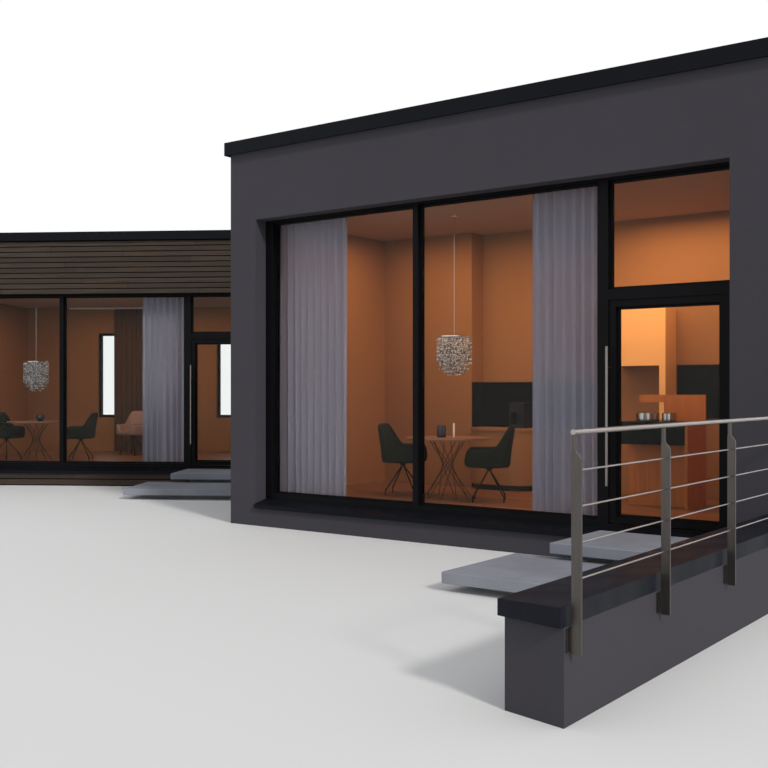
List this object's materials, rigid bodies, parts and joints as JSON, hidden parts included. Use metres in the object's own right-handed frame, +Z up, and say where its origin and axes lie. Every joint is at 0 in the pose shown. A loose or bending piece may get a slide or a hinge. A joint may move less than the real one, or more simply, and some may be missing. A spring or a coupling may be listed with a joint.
{
  "type": "flat roofed bungalow with an angled wing",
  "caption": "Flat-roofed bungalow: a plastered block and a timber-clad wing with storey-high glazing, hinged glass doors, entry slabs and a garden wall with a railing.",
  "frame": {"origin": "centre of the main block's footprint, on the level ground", "axes": "+Z up, -Y out of the main block's glazed front, +X to the right along that front"},
  "size_m": [18.4105, 16.989, 4.87],
  "materials": {
    "black_steel": "satin",
    "cabinet_front": "matt",
    "chair_cloth": "woven",
    "concrete": "cast",
    "coping_stone": "polished",
    "crystal": "cut",
    "dark_metal": "satin",
    "dark_panel": "black lacquered",
    "dark_plastic": "matt",
    "floor_boards": "oiled",
    "frame_paint": "satin",
    "glass": "clear",
    "inner_plaster": "smooth",
    "island_wood": "oiled veneer",
    "pale_concrete": "smooth cast",
    "plaster": "fine render",
    "roof_surface": "roof membrane",
    "sheer_cloth": "sheer",
    "steel": "brushed",
    "stoneware": "glazed",
    "table_top": "matt",
    "timber": "weathered boards",
    "wall_membrane": "black facade membrane",
    "white_paint": "matt"
  },
  "bodies": {
    "house": {"floor_slab": "concrete", "front_left_pier": "plaster", "front_right_pier": "plaster", "front_header": "plaster", "front_plinth": "plaster", "left_wall": "plaster", "right_wall": "plaster", "back_wall": "plaster", "roof_slab": "roof_surface", "roof_coping": "dark_metal", "window_posts": "frame_paint", "window_rails": "frame_paint", "window_glass": "glass", "window_sill": "dark_metal", "entry_slabs": "pale_concrete", "slab_footings": "concrete", "garden_wall": "plaster", "garden_wall_coping": "coping_stone", "rail_posts": "steel", "handrail": "steel", "rail_rods": "steel", "wing_floor_slab": "concrete", "wing_left_pier": "wall_membrane", "wing_right_pier": "wall_membrane", "wing_header": "wall_membrane", "wing_plinth": "wall_membrane", "wing_left_wall": "wall_membrane", "wing_back_wall": "wall_membrane", "wing_roof_slab": "roof_surface", "wing_coping": "dark_metal", "wing_cladding": "timber", "wing_window_posts": "frame_paint", "wing_window_rails": "frame_paint", "wing_window_glass": "glass", "wing_window_sill": "dark_metal", "side_window_frames": "frame_paint", "side_window_glass": "glass", "wood_floor": "floor_boards", "partition_wall": "inner_plaster", "kitchen_island": "island_wood", "kitchen_tops": "dark_panel", "sideboard": "cabinet_front", "coffee_maker": "dark_plastic", "dining_tables": "table_top", "dining_chairs": "chair_cloth", "chair_frames": "black_steel", "tableware": "stoneware", "chandeliers": "crystal", "curtains": "sheer_cloth", "curtain_rails": "white_paint"},
    "front_door": {"door_leaf": "frame_paint", "door_glass": "glass", "door_handle": "steel"},
    "wing_door": {"wing_door_leaf": "frame_paint", "wing_door_glass": "glass", "wing_door_handle": "steel"}
  },
  "joints": [
    {"name": "front_door_hinge", "type": "hinge", "parent": "house", "child": "front_door", "pos_m": [2.7385, -5.701, 1.5], "axis": [0, 0, -1], "range_deg": [0, 90]},
    {"name": "wing_door_hinge", "type": "hinge", "parent": "house", "child": "wing_door", "pos_m": [-6.9382, -1.91737, 1.5], "axis": [0, 0, -1], "range_deg": [0, 90]}
  ]
}
